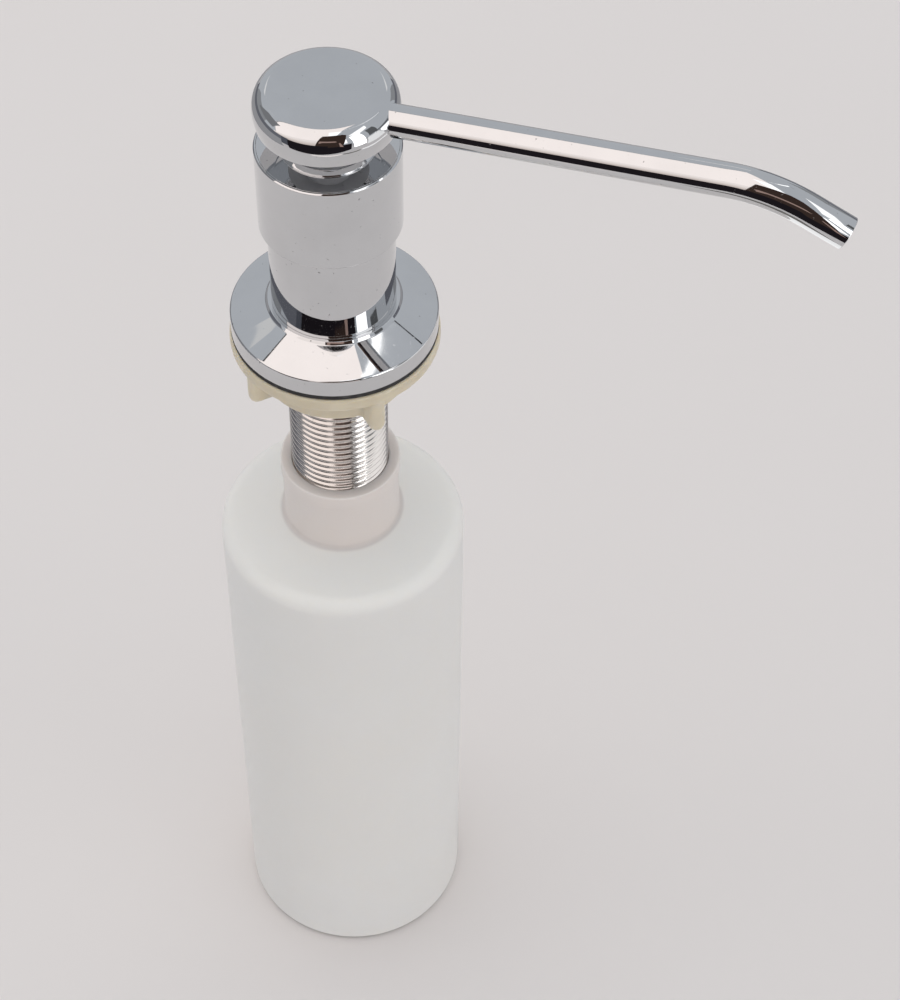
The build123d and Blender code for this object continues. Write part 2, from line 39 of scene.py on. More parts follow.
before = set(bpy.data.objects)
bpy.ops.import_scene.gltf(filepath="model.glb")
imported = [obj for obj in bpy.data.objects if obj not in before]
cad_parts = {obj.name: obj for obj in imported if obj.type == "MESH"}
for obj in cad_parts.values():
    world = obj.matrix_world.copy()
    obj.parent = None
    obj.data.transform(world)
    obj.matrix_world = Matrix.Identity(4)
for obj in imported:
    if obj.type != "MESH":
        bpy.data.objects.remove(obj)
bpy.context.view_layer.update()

MM = 0.001
AXIS_STEPS = 192  # faces round the pump axis
BOTTLE_STEPS = 256
BOTTLE_ARC_STEPS = 10
ON_AXIS_R = 1e-7
LONG_RUN = 1.2 * MM
SUPPORT_GAP = 0.15 * MM
SOFT_DEG = 35  # a fold sharper than this keeps a hard edge
CRISP_DEG = 50  # the same, for chrome and the thread
NECK_PAINTED_SHADE_R = 16.2 * MM  # painted shade: within this radius the bottle is coloured darker, for the shank's shade seen through the neck


# ---- camera -------------------------------------------------------------------
CAMERA_DISTANCE = 0.42868
CAMERA_HEIGHT = 0.69032
CAMERA_AZIMUTH_DEG = -90 + 22.52
CAMERA_AZIMUTH = math.radians(CAMERA_AZIMUTH_DEG)
CAMERA_PAN = math.radians(3.92)
CAMERA_PITCH = math.radians(50.08)
CAMERA_ROLL = math.radians(0.71)
CAMERA_LENS = 88.32


def toward_camera(distance, side, height):
    """A point given by its distance towards the camera, to the viewer's right, and up."""
    out = Vector((math.cos(CAMERA_AZIMUTH), math.sin(CAMERA_AZIMUTH), 0))
    right = Vector((-out.y, out.x, 0))
    return out * distance + right * side + Vector((0, 0, height))


def add_camera():
    """The camera, with the photograph's pan, pitch and roll."""
    out = toward_camera(1, 0, 0)
    right = toward_camera(0, 1, 0)
    ahead = -out * math.cos(CAMERA_PAN) + right * math.sin(CAMERA_PAN)
    forward = ahead * math.cos(CAMERA_PITCH) - Vector((0, 0, math.sin(CAMERA_PITCH)))
    level = ahead.cross(Vector((0, 0, 1))).normalized()
    up = level.cross(forward)
    side = level * math.cos(CAMERA_ROLL) + up * math.sin(CAMERA_ROLL)
    top = up * math.cos(CAMERA_ROLL) - level * math.sin(CAMERA_ROLL)
    data = bpy.data.cameras.new("camera")
    data.lens = CAMERA_LENS
    data.sensor_width = 36.0
    data.clip_start = 0.01
    camera = bpy.data.objects.new("camera", data)
    place = Matrix((side, top, -forward)).transposed().to_4x4()
    place.translation = toward_camera(CAMERA_DISTANCE, 0, CAMERA_HEIGHT)
    camera.matrix_world = place
    bpy.context.scene.collection.objects.link(camera)
    bpy.context.scene.camera = camera


# ---- materials ----------------------------------------------------------------
def new_material(name):
    """An empty Principled material and helpers to wire it."""
    material = bpy.data.materials.new(name)
    material.use_nodes = True
    tree = material.node_tree
    shader = tree.nodes["Principled BSDF"]
    return material, tree, shader


def noise(tree, scale, detail=4.0, roughness=0.55, stretch=(1, 1, 1)):
    """Object-space noise, whose output is about 0 to 1."""
    coord = tree.nodes.new("ShaderNodeTexCoord")
    mapping = tree.nodes.new("ShaderNodeMapping")
    mapping.inputs["Scale"].default_value = stretch
    texture = tree.nodes.new("ShaderNodeTexNoise")
    texture.inputs["Scale"].default_value = scale
    texture.inputs["Detail"].default_value = detail
    texture.inputs["Roughness"].default_value = roughness
    tree.links.new(coord.outputs["Object"], mapping.inputs["Vector"])
    tree.links.new(mapping.outputs["Vector"], texture.inputs["Vector"])
    return texture.outputs["Fac"]


def ranged(tree, value, low, high, to_low, to_high):
    """A smooth remap of a value from one range to another."""
    node = tree.nodes.new("ShaderNodeMapRange")
    node.interpolation_type = "SMOOTHSTEP"
    node.inputs["From Min"].default_value = low
    node.inputs["From Max"].default_value = high
    node.inputs["To Min"].default_value = to_low
    node.inputs["To Max"].default_value = to_high
    tree.links.new(value, node.inputs["Value"])
    return node.outputs["Result"]


def blended(tree, factor, colour_a, colour_b):
    """A colour between two, by a factor."""
    node = tree.nodes.new("ShaderNodeMix")
    node.data_type = "RGBA"
    node.inputs["A"].default_value = (*colour_a, 1)
    node.inputs["B"].default_value = (*colour_b, 1)
    tree.links.new(factor, node.inputs["Factor"])
    return node.outputs["Result"]


def bump(tree, shader, height, strength, distance):
    """Adds a bump to the shader, on top of any it has."""
    node = tree.nodes.new("ShaderNodeBump")
    node.inputs["Strength"].default_value = strength
    node.inputs["Distance"].default_value = distance
    tree.links.new(height, node.inputs["Height"])
    if shader.inputs["Normal"].is_linked:
        before = shader.inputs["Normal"].links[0].from_socket
        tree.links.new(before, node.inputs["Normal"])
    tree.links.new(node.outputs["Normal"], shader.inputs["Normal"])


def chrome_material(name, tint=(0.66, 0.665, 0.675), ripple=0.15, dull=0.0):
    """Polished chrome plate: faint smears, a few dull specks, a very slight ripple."""
    material, tree, shader = new_material(name)
    shader.inputs["Metallic"].default_value = 1.0
    smear = noise(tree, 60, 5, 0.6)
    speck = noise(tree, 1000, 2, 0.5)
    tint_low = tuple(c * 0.96 for c in tint)
    colour = blended(tree, ranged(tree, smear, 0.35, 0.65, 0, 1), tint_low, tint)
    rough = ranged(tree, smear, 0.35, 0.7, 0.014 + dull, 0.04 + dull)
    spots = ranged(tree, speck, 0.68, 0.76, 0, 0.25)
    dotted = tree.nodes.new("ShaderNodeMix")
    dotted.data_type = "RGBA"
    dotted.inputs["B"].default_value = (0.22, 0.22, 0.22, 1)
    tree.links.new(colour, dotted.inputs["A"])
    tree.links.new(ranged(tree, speck, 0.73, 0.77, 0, 0.7), dotted.inputs["Factor"])
    tree.links.new(dotted.outputs["Result"], shader.inputs["Base Color"])
    total = tree.nodes.new("ShaderNodeMath")
    total.operation = "ADD"
    tree.links.new(rough, total.inputs[0])
    tree.links.new(spots, total.inputs[1])
    tree.links.new(total.outputs["Value"], shader.inputs["Roughness"])
    bump(tree, shader, noise(tree, 120, 2, 0.4), ripple, 0.00002)
    return material


def plastic_material(name, colour, shade, roughness=0.38, depth=0.0, grain=0.2):
    """Moulded plastic: slight clouding, fine grain, uneven sheen, and soft light inside."""
    material, tree, shader = new_material(name)
    cloud = ranged(tree, noise(tree, 90, 4, 0.55), 0.35, 0.65, 0, 1)
    tree.links.new(blended(tree, cloud, shade, colour), shader.inputs["Base Color"])
    sheen = ranged(tree, noise(tree, 350, 3), 0.3, 0.7, roughness, roughness + 0.12)
    tree.links.new(sheen, shader.inputs["Roughness"])
    shader.inputs["Subsurface Weight"].default_value = 1.0 if depth else 0.0
    shader.inputs["Subsurface Radius"].default_value = (1.0, 0.85, 0.6)
    shader.inputs["Subsurface Scale"].default_value = depth
    bump(tree, shader, noise(tree, 2600, 3), grain, 0.00003)
    return material


def rubber_material(name):
    """Matt black rubber with dust in its grain."""
    material, tree, shader = new_material(name)
    dust = ranged(tree, noise(tree, 500, 4), 0.5, 0.8, 0, 1)
    colour = blended(tree, dust, (0.012, 0.012, 0.013), (0.05, 0.05, 0.048))
    tree.links.new(colour, shader.inputs["Base Color"])
    sheen = ranged(tree, noise(tree, 900, 3), 0.3, 0.7, 0.55, 0.75)
    tree.links.new(sheen, shader.inputs["Roughness"])
    bump(tree, shader, noise(tree, 3000, 3), 0.3, 0.00004)
    return material


def steel_material(name, roughness):
    """Drawn or ground stainless steel with fine lines along its height."""
    material, tree, shader = new_material(name)
    shader.inputs["Metallic"].default_value = 1.0
    lines = noise(tree, 300, 4, 0.6, (1, 1, 12))
    tree.links.new(blended(tree, lines, (0.42, 0.42, 0.43), (0.6, 0.6, 0.61)), shader.inputs["Base Color"])
    tree.links.new(ranged(tree, lines, 0.3, 0.7, roughness, roughness + 0.1), shader.inputs["Roughness"])
    bump(tree, shader, lines, 0.15, 0.00002)
    return material


def bottle_material(name):
    """Natural polyethylene: milky, satin, with a blown wall's waves, and a painted shade that darkens the
    neck where the shank's shade shows through the wall.
    """
    material, tree, shader = new_material(name)
    cloud = ranged(tree, noise(tree, 14, 3, 0.5), 0.3, 0.7, 0, 1)
    milky = blended(tree, cloud, (0.945, 0.895, 0.83), (0.97, 0.92, 0.865))
    coord = tree.nodes.new("ShaderNodeTexCoord")
    flat = tree.nodes.new("ShaderNodeVectorMath")
    flat.operation = "MULTIPLY"
    flat.inputs[1].default_value = (1, 1, 0)
    tree.links.new(coord.outputs["Object"], flat.inputs[0])
    reach = tree.nodes.new("ShaderNodeVectorMath")
    reach.operation = "LENGTH"
    tree.links.new(flat.outputs["Vector"], reach.inputs[0])
    # painted shade: inside the neck radius the base colour turns darker and warmer, standing in for the
    # shank's shade seen through the thin wall
    past_neck = ranged(tree, reach.outputs["Value"], NECK_PAINTED_SHADE_R, NECK_PAINTED_SHADE_R + 1.0 * MM, 0, 1)
    shade = tree.nodes.new("ShaderNodeMix")
    shade.data_type = "RGBA"
    shade.inputs["A"].default_value = (0.76, 0.715, 0.685, 1)
    tree.links.new(past_neck, shade.inputs["Factor"])
    tree.links.new(milky, shade.inputs["B"])
    tree.links.new(shade.outputs["Result"], shader.inputs["Base Color"])
    fine = noise(tree, 700, 4, 0.6)
    tree.links.new(ranged(tree, fine, 0.3, 0.7, 0.42, 0.56), shader.inputs["Roughness"])
    shader.inputs["Subsurface Weight"].default_value = 1.0
    shader.inputs["Subsurface Radius"].default_value = (1.0, 0.97, 0.92)
    shader.inputs["Subsurface Scale"].default_value = 3.0 * MM
    shader.inputs["Transmission Weight"].default_value = 0.12
    shader.inputs["Specular IOR Level"].default_value = 0.35
    bump(tree, shader, noise(tree, 45, 2, 0.4, (1, 1, 0.35)), 0.25, 0.0002)
    bump(tree, shader, fine, 0.12, 0.00004)
    return material


# ---- meshes -------------------------------------------------------------------
def softened(corners, arc_steps=6):
    """Outline points from (radius, height, rounding) corners, each rounded by an arc."""
    points = []
    count = len(corners)
    for index, (r, z, rounding) in enumerate(corners):
        here = Vector((r, z))
        if rounding == 0:
            points.append((r, z))
            continue
        back = (Vector(corners[index - 1][:2]) - here).normalized()
        ahead = (Vector(corners[(index + 1) % count][:2]) - here).normalized()
        half = back.angle(ahead) / 2
        reach = rounding / math.tan(half)
        middle = here + (back + ahead).normalized() * rounding / math.sin(half)
        start = here + back * reach - middle
        end = here + ahead * reach - middle
        sweep = start.angle_signed(end)
        for step in range(arc_steps + 1):
            turn = Matrix.Rotation(-sweep * step / arc_steps, 2)
            points.append(tuple(middle + turn @ start))
    return points


def as_data(mesh, name):
    """The finished mesh data of a working mesh, with its faces all turned outwards."""
    bmesh.ops.recalc_face_normals(mesh, faces=mesh.faces)
    data = bpy.data.meshes.new(name)
    mesh.to_mesh(data)
    mesh.free()
    return data


def join_loops(mesh, loops):
    """Faces between each loop of vertices and the next."""
    count = len(loops[0])
    for here, other in zip(loops, loops[1:]):
        for step in range(count):
            after = (step + 1) % count
            mesh.faces.new((here[step], here[after], other[after], other[step]))


def finished(name, mesh, body, node, material, sharp_deg=SOFT_DEG):
    """Links a piece, smooths it, gives it a material and rides it on its body."""
    for polygon in mesh.polygons:
        polygon.use_smooth = True
    mesh.set_sharp_from_angle(angle=math.radians(sharp_deg))
    piece = bpy.data.objects.new(name, mesh)
    bpy.context.scene.collection.objects.link(piece)
    mesh.materials.append(material)
    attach(piece, body)
    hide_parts(node)
    return piece


def supported(outline):
    """The outline with a point close to each end of its long runs, so that they shade flat."""
    points = []
    for index, point in enumerate(outline):
        points.append(point)
        here = Vector(point)
        run = Vector(outline[(index + 1) % len(outline)]) - here
        if run.length > LONG_RUN:
            near = run.normalized() * SUPPORT_GAP
            points.append(tuple(here + near))
            points.append(tuple(here + run - near))
    return points


def lathe(outline, steps=AXIS_STEPS):
    """A closed mesh turned about the pump axis from a closed outline of (radius, height)."""
    mesh = bmesh.new()
    rings = []
    for r, z in supported(outline):
        if r < ON_AXIS_R:
            rings.append([mesh.verts.new((0, 0, z))] * steps)
            continue
        ring = []
        for step in range(steps):
            turn = 2 * math.pi * step / steps
            ring.append(mesh.verts.new((r * math.cos(turn), r * math.sin(turn), z)))
        rings.append(ring)
    for index, ring in enumerate(rings):
        other = rings[(index + 1) % len(rings)]
        for step in range(steps):
            after = (step + 1) % steps
            corners = []
            for vert in (ring[step], ring[after], other[after], other[step]):
                if vert not in corners:
                    corners.append(vert)
            if len(corners) > 2:
                mesh.faces.new(corners)
    return as_data(mesh, "lathe")


def in_metres(corners):
    """Millimetre corners as metres."""
    return [tuple(value * MM for value in corner) for corner in corners]


def low(node):
    """The low corner of a CAD node's box."""
    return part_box(node)[0]


def high(node):
    """The high corner of a CAD node's box."""
    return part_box(node)[1]


# ---- stage --------------------------------------------------------------------
FLOOR_HALF = 40.0
FLOOR_Z = -0.3 * MM  # just under the bottle, so that no two faces coincide
FILL_POWER = 29.3
RIGHT_POWER = 8.7
LEFT_POWER = 4.8
EYE_Z = 0.32  # the head's height, from which the cards' elevations are taken
CEILING_RISE = 1.6

PINK = (1.0, 0.915, 0.875)
WHITE = (1, 1, 1)
BLACK = (0.016, 0.013, 0.016)
DARK = (0.05, 0.05, 0.05)
BROWN = (0.050, 0.032, 0.026)
SKIN = (0.42, 0.29, 0.25)
GLOOM = (0.10, 0.105, 0.125)
TAUPE = (0.62, 0.53, 0.48)


def card(name, corners, colour, strength, lights=True, lower=None):
    """A flat glowing card from (toward camera, right, height) corners, unseen by the camera.

    lower, if given, is (colour, low height, high height): the card fades to that colour below.
    """
    data = bpy.data.meshes.new(name)
    points = [tuple(toward_camera(*corner)) for corner in corners]
    data.from_pydata(points, [], [tuple(range(len(points)))])
    piece = bpy.data.objects.new(name, data)
    bpy.context.scene.collection.objects.link(piece)
    material = bpy.data.materials.new(name)
    material.use_nodes = True
    tree = material.node_tree
    tree.nodes.clear()
    out = tree.nodes.new("ShaderNodeOutputMaterial")
    glow = tree.nodes.new("ShaderNodeEmission")
    glow.inputs["Color"].default_value = (*colour, 1)
    glow.inputs["Strength"].default_value = strength
    if lower:
        coord = tree.nodes.new("ShaderNodeTexCoord")
        split = tree.nodes.new("ShaderNodeSeparateXYZ")
        tree.links.new(coord.outputs["Object"], split.inputs["Vector"])
        height = ranged(tree, split.outputs["Z"], lower[1], lower[2], 0, 1)
        tree.links.new(blended(tree, height, lower[0], colour), glow.inputs["Color"])
    tree.links.new(glow.outputs["Emission"], out.inputs["Surface"])
    data.materials.append(material)
    piece.visible_camera = False
    piece.visible_shadow = False
    piece.visible_diffuse = lights


def overhead(name, corners, colour, strength, lights=True, level=0.0):
    """A card near the ceiling; its (toward, right) corners are ratios of the rise to it."""
    rise = CEILING_RISE - level
    card(name, [(t * rise, s * rise, EYE_Z + rise) for t, s in corners], colour, strength, lights)


def bowed_strip():
    """Corners of a thin bowed strip of daylight overhead, as ratios of the rise to it."""
    near = []
    far = []
    stations = 13
    for step in range(stations):
        side = 0.165 + 0.04 * step
        spread = 0.03 if side > 0.38 else 0
        near.append((-1.387 * side ** 2 + 0.1893 * side - 0.0303, side))
        far.append((-1.358 * side ** 2 + 0.1179 * side - 0.0213 - spread, side))
    return near + far[::-1]


def faced(name, distance, corners, colour, strength, lights=True, lower=None):
    """A card at a distance, from (azimuth, elevation) corners in degrees as the head sees them."""
    points = []
    for azimuth, elevation in corners:
        turn = math.radians(azimuth)
        rise = math.tan(math.radians(elevation))
        points.append((distance * math.cos(turn), distance * math.sin(turn), EYE_Z + distance * rise))
    card(name, points, colour, strength, lights, lower)


def beside_thread(name, left, right, colour, strength):
    """A slanted card near the thread, placed so that the body and the head's rim don't see it."""
    low_edge = (0.135, 0.213)  # distance and height
    high_edge = (0.10, 0.253)
    points = []
    for azimuth, edge in ((left, low_edge), (right, low_edge), (right, high_edge), (left, high_edge)):
        turn = math.radians(azimuth)
        distance, height = edge
        points.append((distance * math.cos(turn), distance * math.sin(turn), height))
    card(name, points, colour, strength, False)


def add_floor():
    """The pale table."""
    data = bpy.data.meshes.new("floor")
    half = FLOOR_HALF
    corners = [(-half, -half), (half, -half), (half, half), (-half, half)]
    data.from_pydata([(x, y, FLOOR_Z) for x, y in corners], [], [(0, 1, 2, 3)])
    floor = bpy.data.objects.new("floor", data)
    bpy.context.scene.collection.objects.link(floor)
    material, tree, shader = new_material("table_top")
    colour = blended(tree, noise(tree, 3, 3), (0.745, 0.715, 0.70), (0.775, 0.75, 0.74))
    tree.links.new(colour, shader.inputs["Base Color"])
    sheen = ranged(tree, noise(tree, 120, 4), 0.3, 0.7, 0.45, 0.55)
    tree.links.new(sheen, shader.inputs["Roughness"])
    shader.inputs["Specular IOR Level"].default_value = 0.0
    data.materials.append(material)
    return floor


def add_world():
    """Soft grey-blue surroundings."""
    world = bpy.data.worlds.new("studio")
    world.use_nodes = True
    bpy.context.scene.world = world
    back = world.node_tree.nodes["Background"]
    back.inputs["Color"].default_value = (0.56, 0.585, 0.62, 1)
    back.inputs["Strength"].default_value = 1.0


def soft_light(name, place, size, power, colour):
    """A soft rectangular light that neither the camera nor a reflection shows."""
    data = bpy.data.lights.new(name, "AREA")
    data.shape = "RECTANGLE"
    data.size, data.size_y = size
    data.energy = power
    data.color = colour
    light = bpy.data.objects.new(name, data)
    light.location = place
    light.visible_glossy = False
    light.visible_camera = False
    bpy.context.scene.collection.objects.link(light)
    return light


def add_fill_light():
    """A wide soft light overhead that brightens the table and the matt parts."""
    place = toward_camera(-0.8, -0.5, 2.4)
    soft_light("fill", place, (3.0, 3.0), FILL_POWER, (1.0, 0.915, 0.845))


def add_side_light(name, place, power, skipped):
    """A soft low light beside the viewer, for the upright matt parts; it skips the table."""
    light = soft_light(name, place, (1.0, 0.8), power, (1.0, 0.90, 0.84))
    light.rotation_euler = (place - Vector((0, 0, 0.1))).to_track_quat("Z", "Y").to_euler()
    receivers = bpy.data.collections.new(name + "_receivers")
    receivers.objects.link(skipped)
    receivers.collection_objects[0].light_linking.link_state = "EXCLUDE"
    light.light_linking.receiver_collection = receivers


def add_ceiling():
    """What the upward faces reflect: the ceiling, its edge, its lamps and a strip of daylight."""
    overhead("ceiling", [(-0.52, 0.185), (1.5, 0.185), (1.5, -6.5)], PINK, 1.36, False)
    line = [(-0.52, 0.185), (1.5, -6.5), (1.48, -6.5), (-0.535, 0.185)]
    overhead("ceiling_line", line, DARK, 1, False, 0.01)
    lamp = [(0.10, 0.02), (0.55, 0.02), (0.55, 0.20), (0.10, 0.20)]
    overhead("ceiling_white", lamp, WHITE, 1.7, True, 0.02)
    glare = [(0.05, 0.62), (0.9, 0.62), (1.2, 1.2), (0.35, 1.0)]
    overhead("ceiling_glare", glare, WHITE, 1.6, True, 0.02)
    overhead("window_hook", bowed_strip(), WHITE, 1.9, True)
    line = [(-0.56, 0.672), (-0.44, 0.675), (-0.44, 0.686), (-0.56, 0.683)]
    overhead("far_line", line, BLACK, 1, False, 0.01)
    streak = [(-0.75, -0.80), (-0.50, -0.69), (-0.49, -0.66), (-0.72, -0.75)]
    overhead("left_streak", streak, WHITE, 0.75, True, 0.01)


def add_viewer():
    """The wall behind the viewer, and the viewer as a few dark cards."""
    wall = [(2.4, -15, -1.6), (2.4, -0.55, 0.60), (2.4, -0.55, 2.0), (2.4, -15, 2.0)]
    card("front_wall", wall, PINK, 1.2, False, (TAUPE, 0.3, 1.7))
    torso = [(0.30, -0.45, 0), (0.60, 0.38, 0), (0.60, 0.38, 0.34), (0.50, -0.17, 0.365), (0.30, -0.45, 0.34)]
    card("operator", torso, BLACK, 1, False)
    side = [(0.30, -0.45, 0.10), (-0.05, -0.60, 0.16), (-0.05, -0.60, 0.35), (0.30, -0.45, 0.36)]
    card("side_gloom", side, GLOOM, 1, False)
    hands = [(-18, -2), (20, -2), (23, 12), (34, 50), (30, 58), (-10, 58), (-12, 50)]
    faced("holder", 0.56, hands, BROWN, 1, False)
    arm = [(-6, 34), (-13, 26), (-13, 0), (12, 0), (21, -6), (15, 24), (6, 34)]
    faced("arm", 0.55, arm, SKIN, 1, False)


def add_window():
    """A window to the viewer's right."""
    faced("window_low", 0.90, [(37, -24), (56, -26), (50, 36), (33, 34)], WHITE, 3.0, False)
    faced("window_side", 0.60, [(57, -26), (96, -26), (96, -1), (57, -1)], WHITE, 1.1, False)
    faced("window_slit", 0.89, [(20, 8), (27, 8), (27, 31), (21, 31)], WHITE, 2.0, False)


def band(name, distance, sides, bottom, top, colour, strength=1):
    """An upright card between two azimuths and two elevations."""
    left, right = sides
    corners = [(left, bottom), (right, bottom), (right, top), (left, top)]
    faced(name, distance, corners, colour, strength, False)


def add_room():
    """The rest of the room: low grey bands all round, walls, and a bright line far behind."""
    low_grey = (0.37, 0.37, 0.385)
    line_grey = (0.17, 0.175, 0.20)
    wall_grey = (0.33, 0.34, 0.355)
    beside = [(-66, -100), (-100, -125), (-125, -149), (149, 125), (125, 96)]
    for index, sides in enumerate(beside):
        band("low_%d" % index, 0.46, sides, -33, -9, low_grey)
        band("dark_line_%d" % index, 0.46, sides, -9, 3, line_grey)
    for index, sides in enumerate(((-149, -180), (180, 149))):
        band("far_low_%d" % index, 0.46, sides, -33, -10, low_grey)
    for index, sides in enumerate(((-100, -125), (-125, -144), (144, 125))):
        band("wall_%d" % index, 1.5, sides, 1, 25, wall_grey)
    for name, sides in (("ring_left", (-158, -172)), ("ring_right", (158, 172))):
        band(name, 1.45, sides, 36, 39, WHITE, 0.95)
    shade = [(-125, 14), (-85, 14), (-85, 40), (-120, 40)]
    faced("shade_left", 1.4, shade, (0.24, 0.245, 0.255), 1, False)
    band("shade_right", 0.95, (60, 74), 3, 34, (0.13, 0.135, 0.14))


def add_thread_cards():
    """What the thread reflects of the viewer's side of the room."""
    beside_thread("thread_pink", -24, 19, PINK, 1.15)
    beside_thread("thread_dark", 21, 47, (0.20, 0.19, 0.18), 1)
    beside_thread("thread_white", 49, 85, WHITE, 1.2)
    beside_thread("thread_far", 85, 110, WHITE, 1.1)


def add_studio():
    """The surroundings, the table, the lights and every card that the chrome reflects."""
    add_world()
    floor = add_floor()
    add_fill_light()
    add_side_light("right_side", toward_camera(1.5, 1.2, 0.45), RIGHT_POWER, floor)
    add_side_light("left_side", toward_camera(0.9, -1.7, 0.6), LEFT_POWER, floor)
    add_ceiling()
    add_viewer()
    add_window()
    add_room()
    add_thread_cards()


# ---- pieces -------------------------------------------------------------------
def head_cap(material):
    """Round push cap: flat top, rolled edge, slightly drawn-in skirt and a shallow recess below."""
    top = high("head_cap").z
    bottom = low("head_cap").z
    widest_r = high("head_cap").y
    flat_r = widest_r - 3.9 * MM
    widest_z = bottom + 4.0 * MM
    drawn_in = 0.53 * MM
    outline = [(0, top), (flat_r, top)]
    edge_steps = 24
    for step in range(1, edge_steps + 1):
        turn = math.pi / 2 * step / edge_steps
        outline.append((
            flat_r + (widest_r - flat_r) * math.sin(turn),
            widest_z + (top - widest_z) * math.cos(turn),
        ))
    skirt_steps = 10
    for step in range(1, skirt_steps + 1):
        part = step / skirt_steps
        outline.append((widest_r - drawn_in * part ** 2, widest_z + (bottom - widest_z) * part))
    recess_r = 12.8 * MM
    recess_z = bottom + 0.4 * MM
    socket_r = 9.5 * MM
    socket_z = top - 1.95 * MM
    outline += [
        (recess_r, bottom), (recess_r, recess_z), (socket_r, recess_z), (socket_r, socket_z), (0, socket_z),
    ]
    return finished("head_cap_visual", lathe(outline), "head", "head_cap", material, CRISP_DEG)


def spout_tube(material):
    """Bent tube with a bore and a rounded lip at its mouth."""
    outer = high("spout_tube").y
    inner = outer - 0.75 * MM
    lip = 0.18 * MM
    rise = math.radians(4.3)
    drop = math.radians(27.6)
    bend_r = 40.3 * MM
    bend_start = 93.9 * MM
    tip_length = 10.0 * MM
    straight_stations = (15.7, 30, 50, 70, 85)
    bend_steps = 40
    around_steps = 96
    ahead = Vector((math.cos(rise), 0, math.sin(rise)))
    below = Vector((math.sin(rise), 0, -math.cos(rise)))
    origin = Vector((0, 0, 317.95 * MM))
    centres = [(origin + ahead * along * MM, ahead) for along in straight_stations]
    bend_centre = origin + ahead * bend_start + below * bend_r
    for step in range(bend_steps + 1):
        turn = drop * step / bend_steps
        place = bend_centre - below * bend_r * math.cos(turn) + ahead * bend_r * math.sin(turn)
        centres.append((place, ahead * math.cos(turn) + below * math.sin(turn)))
    last, heading = centres[-1]
    tip = last + heading * tip_length
    sections = [(place, way, outer) for place, way in centres]
    sections += [
        (tip - heading * lip, heading, outer), (tip - heading * lip * 0.3, heading, outer - lip * 0.3),
        (tip, heading, outer - lip), (tip, heading, inner + lip), (tip - heading * lip, heading, inner),
    ]
    sections += [(place, way, inner) for place, way in reversed(centres)]
    mesh = bmesh.new()
    loops = []
    side = Vector((0, 1, 0))
    for place, way, radius in sections:
        up = way.cross(side)
        loop = []
        for step in range(around_steps):
            turn = 2 * math.pi * step / around_steps
            loop.append(mesh.verts.new(place + (side * math.cos(turn) + up * math.sin(turn)) * radius))
        loops.append(loop)
    join_loops(mesh, loops + loops[:1])
    return finished("spout_tube_visual", as_data(mesh, "spout"), "head", "spout_tube", material, CRISP_DEG)


def body_housing(material):
    """Chromed shell, wider above a sharp step than below it."""
    top = 307.3
    step_z = 283.7
    upper_r = 17.42
    lower_r = 15.5
    shank_r = 12.87
    outline = softened(in_metres([
        (shank_r, 258.0, 0), (lower_r, 258.0, 0.15), (lower_r, step_z, 0.1), (upper_r, step_z, 0.25),
        (upper_r, top - 0.3, 0.1), (upper_r - 0.3, top, 0.1), (16.8, top, 0), (16.8, 305.8, 0),
        (15.42, 305.8, 0), (15.42, 285.7, 0), (13.5, 285.7, 0), (13.5, 268.0, 0), (shank_r, 268.0, 0),
    ]))
    return finished("body_housing_visual", lathe(outline), "deck_unit", "body_housing", material, CRISP_DEG)


def flange(material):
    """Cover flange: upright rim, conical top, raised seat and a hollow underside."""
    bottom = 248.84
    rim_r = 26.0
    outline = softened(in_metres([
        (12.95, bottom, 0), (14.55, bottom, 0), (15.15, 253.44, 0), (23.0, 251.84, 0), (23.6, bottom, 0),
        (rim_r, bottom, 0.15), (rim_r, 253.9, 0.55), (16.95, 257.29, 0.4), (16.45, 258.0, 0.15),
        (12.95, 258.0, 0),
    ]))
    return finished("flange_visual", lathe(outline), "deck_unit", "flange", material, CRISP_DEG)


def flange_gasket(material):
    """Flat rubber ring under the flange."""
    bottom = 247.54
    top = 248.84
    outline = softened(in_metres([
        (12.95, bottom, 0), (26.0, bottom, 0.25), (26.0, top, 0.25), (12.95, top, 0),
    ]))
    return finished("flange_gasket_visual", lathe(outline), "deck_unit", "flange_gasket", material)


def pump_collar(material):
    """Ring in the mouth of the body, with a groove for its seal and a raised lip round the stem."""
    top = 308.5
    body_top = 307.3
    flange_r = 16.75
    skirt_r = 15.2
    outline = softened(in_metres([
        (5.9, top, 0.1), (10.4, top, 0.25), (11.5, top - 0.8, 0.15), (11.5, body_top, 0.1),
        (flange_r, body_top, 0.1), (flange_r, 305.85, 0), (skirt_r, 305.85, 0), (skirt_r, 303.6, 0),
        (13.07, 303.6, 0), (13.07, 301.0, 0), (skirt_r, 301.0, 0), (skirt_r, 299.5, 0), (11.0, 299.5, 0),
        (11.0, 306.9, 0), (5.9, 306.9, 0),
    ]))
    return finished("pump_collar_visual", lathe(outline), "pump_unit", "pump_collar", material, CRISP_DEG)


